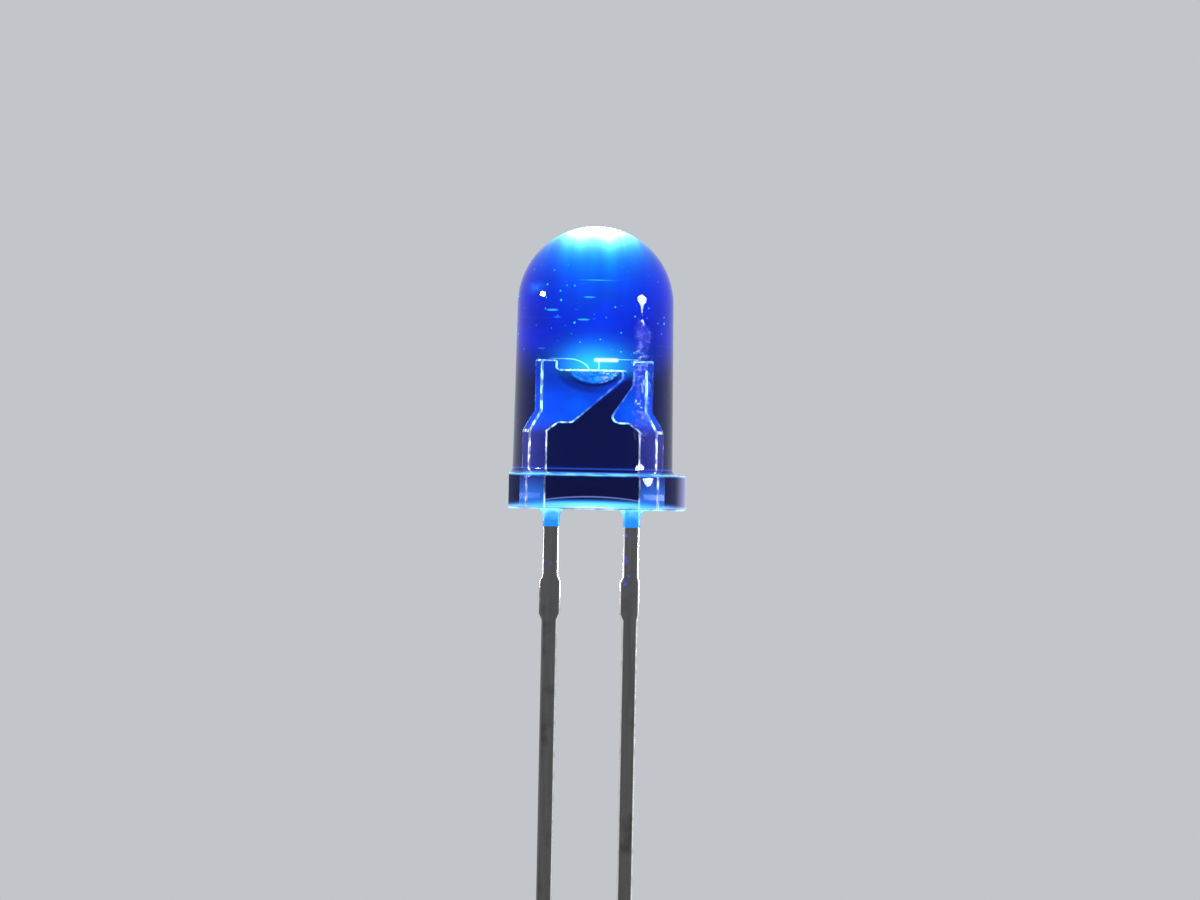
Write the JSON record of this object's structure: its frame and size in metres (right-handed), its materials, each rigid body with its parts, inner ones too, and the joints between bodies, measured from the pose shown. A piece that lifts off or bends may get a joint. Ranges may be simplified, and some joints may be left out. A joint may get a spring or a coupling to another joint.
{
  "type": "through hole led",
  "caption": "Round through hole light emitting diode: domed epoxy lens with a flange and a cathode flat, on two square leads for a circuit board.",
  "frame": {"origin": "centre of the seating plane under the flange", "axes": "+Z along the lens towards the dome, the cathode and the flange's flat at -X, the anode at +X"},
  "size_m": [0.0056, 0.006, 0.0356],
  "materials": {
    "epoxy": "clear polished cast epoxy, lit blue from inside",
    "plated_steel": "bright plated stamped strip",
    "chip": "polished crystal, lit",
    "adhesive": "cured silver filled paste",
    "gold": "drawn fine wire"
  },
  "bodies": {
    "root": {"lens": "epoxy", "cathode_lead": "plated_steel", "anode_lead": "plated_steel", "die": "chip", "die_attach": "adhesive", "cathode_wire": "gold", "anode_wire": "gold"}
  },
  "joints": []
}
